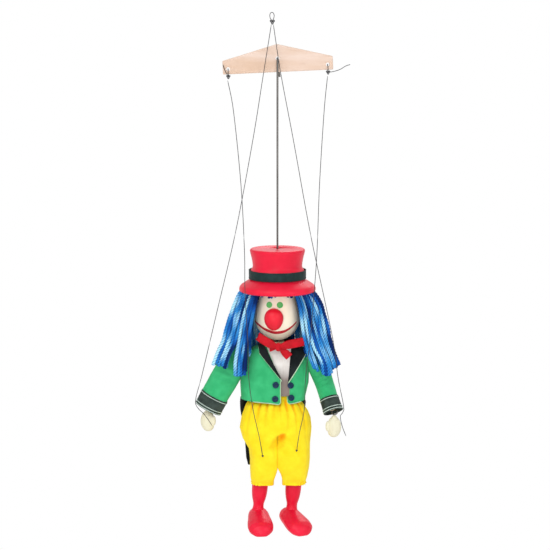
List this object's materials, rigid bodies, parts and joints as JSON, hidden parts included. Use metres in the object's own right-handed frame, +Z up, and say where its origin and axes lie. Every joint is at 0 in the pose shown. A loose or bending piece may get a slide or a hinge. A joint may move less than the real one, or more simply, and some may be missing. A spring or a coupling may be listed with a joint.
{
  "type": "clown marionette",
  "caption": "Wooden clown string puppet in top hat, jacket and puffy trousers, with jointed arms and legs, hung by a wire and threads from a flat control bar.",
  "frame": {"origin": "centre of the control bar's middle hole, where the head wire hangs", "axes": "+Z up along the head wire, +X to the viewer's right, the puppet faces -Y"},
  "size_m": [0.1052, 0.0536, 0.3637],
  "materials": {
    "plywood": "sanded plywood, horizontal grain",
    "thread": "dark twisted thread",
    "wire_steel": "dark annealed steel wire",
    "red_lacquer": "red satin lacquer on turned wood",
    "dark_band": "dark ribbon",
    "pale_wood": "pale matt lacquered wood",
    "blue_yarn": "blue yarn",
    "red_ribbon": "red ribbon",
    "white_cloth": "white cotton",
    "green_cloth": "green cotton",
    "black_cloth": "black cotton",
    "navy_button": "navy plastic",
    "yellow_cloth": "yellow cotton"
  },
  "bodies": {
    "bar": {"control_bar": "plywood", "bar_knot_left": "thread", "bar_knot_right": "thread"},
    "head": {"head_wire": "wire_steel", "hat": "red_lacquer", "hat_band": "dark_band", "head": "pale_wood", "nose": "red_lacquer", "hair_left": "blue_yarn", "hair_right": "blue_yarn", "hair_back": "blue_yarn", "hand_string_knot": "thread", "hand_string_left": "thread", "hand_string_right": "thread", "leg_string_left": "thread", "leg_string_right": "thread"},
    "torso": {"torso": "pale_wood", "neck_eye": "wire_steel", "hip_axle": "wire_steel", "shoulder_pin_left": "wire_steel", "shoulder_pin_right": "wire_steel", "jacket": "green_cloth", "shirt_front": "white_cloth", "bow_tie": "red_ribbon", "trousers": "yellow_cloth", "lapel_left": "black_cloth", "lapel_right": "black_cloth", "tail_left": "black_cloth", "tail_right": "black_cloth", "button_upper_left": "navy_button", "button_upper_right": "navy_button", "button_lower_left": "navy_button", "button_lower_right": "navy_button"},
    "upper_arm_left": {"upper_arm_left": "pale_wood", "elbow_pin_left": "wire_steel", "sleeve_upper_left": "green_cloth"},
    "forearm_left": {"forearm_left": "pale_wood", "wrist_eye_left": "wire_steel", "sleeve_lower_left": "green_cloth", "cuff_left": "black_cloth"},
    "hand_left": {"hand_left": "pale_wood"},
    "thigh_left": {"thigh_left": "pale_wood", "knee_pin_left": "wire_steel"},
    "lower_leg_left": {"lower_leg_left": "red_lacquer", "shoe_left": "red_lacquer"},
    "upper_arm_right": {"upper_arm_right": "pale_wood", "elbow_pin_right": "wire_steel", "sleeve_upper_right": "green_cloth"},
    "forearm_right": {"forearm_right": "pale_wood", "wrist_eye_right": "wire_steel", "sleeve_lower_right": "green_cloth", "cuff_right": "black_cloth"},
    "hand_right": {"hand_right": "pale_wood"},
    "thigh_right": {"thigh_right": "pale_wood", "knee_pin_right": "wire_steel"},
    "lower_leg_right": {"lower_leg_right": "red_lacquer", "shoe_right": "red_lacquer"}
  },
  "joints": [
    {"name": "bar_rock", "type": "hinge", "parent": "bar", "child": "head", "pos_m": [0, 0, 0], "axis": [0, 1, 0], "range_deg": [-20, 20], "deforming": ["leg_string_left", "leg_string_right"]},
    {"name": "body_swing", "type": "hinge", "parent": "head", "child": "torso", "pos_m": [0, 0, -0.20105], "axis": [1, 0, 0], "range_deg": [-10, 10], "deforming": ["hair_left", "hair_right", "hair_back", "hand_string_left", "hand_string_right"]},
    {"name": "shoulder_left", "type": "hinge", "parent": "torso", "child": "upper_arm_left", "pos_m": [-0.0225, 0, -0.2033], "axis": [-1, 0, 0], "range_deg": [0, 80], "deforming": ["sleeve_upper_left", "jacket"]},
    {"name": "elbow_left", "type": "hinge", "parent": "upper_arm_left", "child": "forearm_left", "pos_m": [-0.03648, 0, -0.22403], "axis": [-0.829, 0, 0.5592], "range_deg": [0, 45], "deforming": ["sleeve_lower_left", "cuff_left"]},
    {"name": "wrist_left", "type": "hinge", "parent": "forearm_left", "child": "hand_left", "pos_m": [-0.0494, 0, -0.24518], "axis": [1, 0, 0], "range_deg": [-25, 25]},
    {"name": "hip_left", "type": "hinge", "parent": "torso", "child": "thigh_left", "pos_m": [-0.0117, 0, -0.2498], "axis": [-1, 0, 0], "range_deg": [0, 70], "deforming": ["tail_left", "trousers"]},
    {"name": "knee_left", "type": "hinge", "parent": "thigh_left", "child": "lower_leg_left", "pos_m": [-0.01248, 0, -0.27779], "axis": [0.9996, 0, -0.0279], "range_deg": [0, 75]},
    {"name": "shoulder_right", "type": "hinge", "parent": "torso", "child": "upper_arm_right", "pos_m": [0.0225, 0, -0.2033], "axis": [-1, 0, 0], "range_deg": [0, 80], "deforming": ["sleeve_upper_right"]},
    {"name": "elbow_right", "type": "hinge", "parent": "upper_arm_right", "child": "forearm_right", "pos_m": [0.03227, 0, -0.22631], "axis": [-0.9205, 0, -0.3907], "range_deg": [0, 45], "deforming": ["sleeve_lower_right", "cuff_right"]},
    {"name": "wrist_right", "type": "hinge", "parent": "forearm_right", "child": "hand_right", "pos_m": [0.03969, -0.01319, -0.24609], "axis": [0.9715, -0.2372, 0], "range_deg": [-25, 25]},
    {"name": "hip_right", "type": "hinge", "parent": "torso", "child": "thigh_right", "pos_m": [0.0117, 0, -0.2498], "axis": [-1, 0, 0], "range_deg": [0, 70], "deforming": ["tail_right"]},
    {"name": "knee_right", "type": "hinge", "parent": "thigh_right", "child": "lower_leg_right", "pos_m": [0.01141, 0, -0.2778], "axis": [0.9999, 0, -0.0105], "range_deg": [0, 75]}
  ]
}
